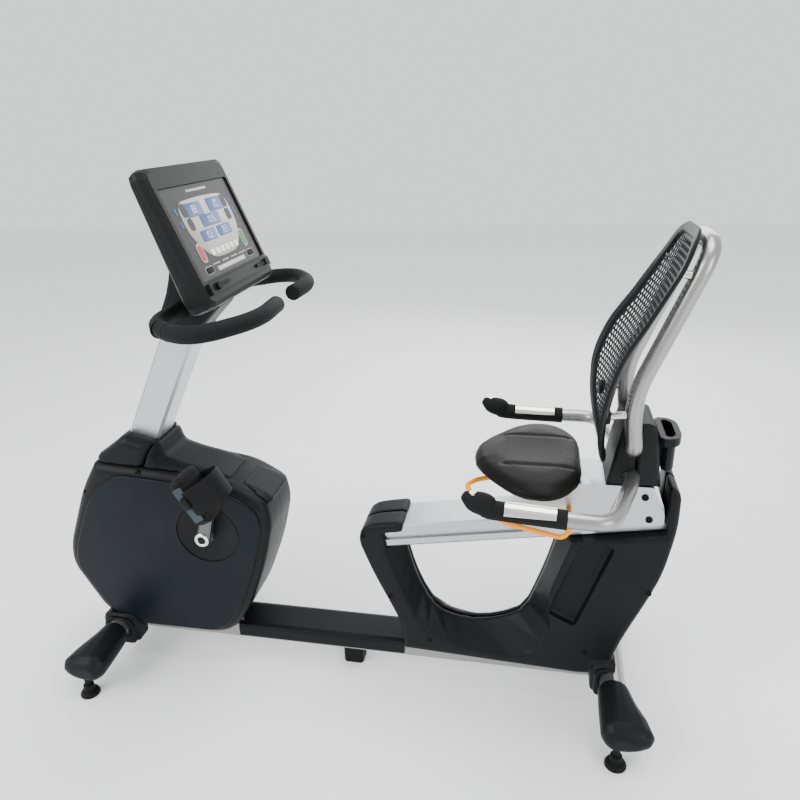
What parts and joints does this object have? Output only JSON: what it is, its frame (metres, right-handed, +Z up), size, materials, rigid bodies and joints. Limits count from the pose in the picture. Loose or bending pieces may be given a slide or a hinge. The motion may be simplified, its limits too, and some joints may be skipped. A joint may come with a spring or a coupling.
{
  "type": "recumbent exercise bike",
  "caption": "Recumbent exercise bike: enclosed pedal drive, display on a leaning mast, and a cushioned seat with a perforated backrest and side handles sliding on an inclined rail.",
  "frame": {"origin": "on the floor under the centre of the bike's box", "axes": "+X from the drive housing towards the backrest, +Y to the rider's right, +Z up"},
  "size_m": [1.5151, 0.568, 1.2798],
  "materials": {
    "black_plastic": "matt moulded",
    "housing_panel": "satin moulded",
    "charcoal_plastic": "satin moulded",
    "display_glass": "gloss printed",
    "silver_paint": "metallic paint",
    "aluminium": "brushed",
    "steel": "satin",
    "rubber": "matt",
    "foam_sleeve": "matt foam",
    "vinyl": "soft sheen",
    "orange_paint": "gloss coated",
    "red_key": "gloss",
    "green_key": "gloss",
    "dark_key": "gloss"
  },
  "bodies": {
    "frame": {"base_frame": "silver_paint", "front_left_end_cap": "black_plastic", "front_right_end_cap": "black_plastic", "rear_left_end_cap": "black_plastic", "rear_right_end_cap": "black_plastic", "middle_foot": "rubber", "beam_cover": "black_plastic", "front_boot": "black_plastic", "drive_cover_left": "housing_panel", "drive_cover_right": "housing_panel", "top_cover": "black_plastic", "mast_collar": "black_plastic", "mast": "aluminium", "rear_cover_left": "black_plastic", "rear_cover_right": "black_plastic", "seat_rail": "aluminium", "drive_belt": "rubber", "handlebar": "foam_sleeve", "console_neck": "black_plastic", "console_front": "charcoal_plastic", "console_back": "charcoal_plastic", "display_panel": "display_glass"},
    "crank": {"crank_axle": "steel", "crank_pulley": "black_plastic", "crank_arm_left": "steel", "crank_arm_right": "steel"},
    "left_pedal": {"pedal_left": "black_plastic", "pedal_strap_left": "rubber"},
    "right_pedal": {"pedal_right": "black_plastic", "pedal_strap_right": "rubber"},
    "flywheel_group": {"flywheel": "steel", "flywheel_spindle": "steel"},
    "seat": {"seat_carriage": "aluminium", "seat_cushion": "vinyl", "column_front_cover": "charcoal_plastic", "column_rear_cover": "charcoal_plastic", "backrest_frame": "silver_paint", "backrest_shell": "charcoal_plastic", "side_handle_tube": "silver_paint", "cup_holder": "black_plastic", "left_grip": "rubber", "right_grip": "rubber", "left_pulse_contact": "steel", "right_pulse_contact": "steel"},
    "release_lever": {"seat_lever": "orange_paint"},
    "left_handle_switch": {"left_handle_button": "steel"},
    "right_handle_switch": {"right_handle_button": "steel"},
    "start_switch": {"start_key": "green_key"},
    "stop_switch": {"stop_key": "red_key"},
    "resistance_up_switch": {"resistance_up_key": "dark_key"},
    "resistance_down_switch": {"resistance_down_key": "dark_key"},
    "time_up_switch": {"time_up_key": "dark_key"},
    "time_down_switch": {"time_down_key": "dark_key"},
    "left_clip": {"page_clip_left": "rubber"},
    "right_clip": {"page_clip_right": "rubber"},
    "front_left_leveller": {"front_left_foot": "rubber"},
    "front_right_leveller": {"front_right_foot": "rubber"},
    "rear_left_leveller": {"rear_left_foot": "rubber"},
    "rear_right_leveller": {"rear_right_foot": "rubber"}
  },
  "joints": [
    {"name": "crank_spin", "type": "hinge", "parent": "frame", "child": "crank", "pos_m": [-0.3464, 0, 0.421], "axis": [0, 1, 0], "continuous": true},
    {"name": "left_pedal_spin", "type": "hinge", "parent": "crank", "child": "left_pedal", "pos_m": [-0.29972, -0.19, 0.58706], "axis": [0, 1, 0], "continuous": true},
    {"name": "right_pedal_spin", "type": "hinge", "parent": "crank", "child": "right_pedal", "pos_m": [-0.39308, 0.19, 0.25494], "axis": [0, 1, 0], "continuous": true},
    {"name": "flywheel_spin", "type": "hinge", "parent": "frame", "child": "flywheel_group", "pos_m": [-0.4244, 0, 0.243], "axis": [0, 1, 0], "continuous": true},
    {"name": "seat_slide", "type": "slide", "parent": "frame", "child": "seat", "axis": [0.9866, 0, 0.1633], "range_m": [-0.255, 0]},
    {"name": "lever_lift", "type": "hinge", "parent": "seat", "child": "release_lever", "pos_m": [0.5156, -0.059, 0.545], "axis": [0, 1, 0], "range_deg": [0, 3], "stiffness_Nm_per_rad": 6, "springref_deg": -11.46},
    {"name": "left_handle_button_press", "type": "slide", "parent": "seat", "child": "left_handle_switch", "axis": [0.1045, 0, -0.9945], "range_m": [0, 0.0015], "stiffness_N_per_m": 1000, "springref_m": -0.0005},
    {"name": "right_handle_button_press", "type": "slide", "parent": "seat", "child": "right_handle_switch", "axis": [0.1045, 0, -0.9945], "range_m": [0, 0.0015], "stiffness_N_per_m": 1000, "springref_m": -0.0005},
    {"name": "start_press", "type": "slide", "parent": "frame", "child": "start_switch", "axis": [-0.9272, 0, -0.3746], "range_m": [0, 0.0008], "stiffness_N_per_m": 800, "springref_m": -0.0003},
    {"name": "stop_press", "type": "slide", "parent": "frame", "child": "stop_switch", "axis": [-0.9272, 0, -0.3746], "range_m": [0, 0.0008], "stiffness_N_per_m": 800, "springref_m": -0.0003},
    {"name": "resistance_up_press", "type": "slide", "parent": "frame", "child": "resistance_up_switch", "axis": [-0.9272, 0, -0.3746], "range_m": [0, 0.0008], "stiffness_N_per_m": 800, "springref_m": -0.0003},
    {"name": "resistance_down_press", "type": "slide", "parent": "frame", "child": "resistance_down_switch", "axis": [-0.9272, 0, -0.3746], "range_m": [0, 0.0008], "stiffness_N_per_m": 800, "springref_m": -0.0003},
    {"name": "time_up_press", "type": "slide", "parent": "frame", "child": "time_up_switch", "axis": [-0.9272, 0, -0.3746], "range_m": [0, 0.0008], "stiffness_N_per_m": 800, "springref_m": -0.0003},
    {"name": "time_down_press", "type": "slide", "parent": "frame", "child": "time_down_switch", "axis": [-0.9272, 0, -0.3746], "range_m": [0, 0.0008], "stiffness_N_per_m": 800, "springref_m": -0.0003},
    {"name": "left_clip_swing", "type": "hinge", "parent": "frame", "child": "left_clip", "pos_m": [-0.21207, -0.128, 1.0488], "axis": [0.9272, 0, 0.3746], "range_deg": [0, 95]},
    {"name": "right_clip_swing", "type": "hinge", "parent": "frame", "child": "right_clip", "pos_m": [-0.21207, 0.128, 1.0488], "axis": [-0.9272, 0, -0.3746], "range_deg": [0, 95]},
    {"name": "front_left_foot_turn", "type": "hinge", "parent": "frame", "child": "front_left_leveller", "pos_m": [-0.6654, -0.2375, 0.03], "axis": [0, 0, 1], "continuous": true},
    {"name": "front_right_foot_turn", "type": "hinge", "parent": "frame", "child": "front_right_leveller", "pos_m": [-0.6654, 0.2375, 0.03], "axis": [0, 0, 1], "continuous": true},
    {"name": "rear_left_foot_turn", "type": "hinge", "parent": "frame", "child": "rear_left_leveller", "pos_m": [0.6426, -0.2375, 0.03], "axis": [0, 0, 1], "continuous": true},
    {"name": "rear_right_foot_turn", "type": "hinge", "parent": "frame", "child": "rear_right_leveller", "pos_m": [0.6426, 0.2375, 0.03], "axis": [0, 0, 1], "continuous": true}
  ],
  "couplings": [
    {"joint": "flywheel_spin", "follows": "crank_spin", "ratio": 4}
  ]
}
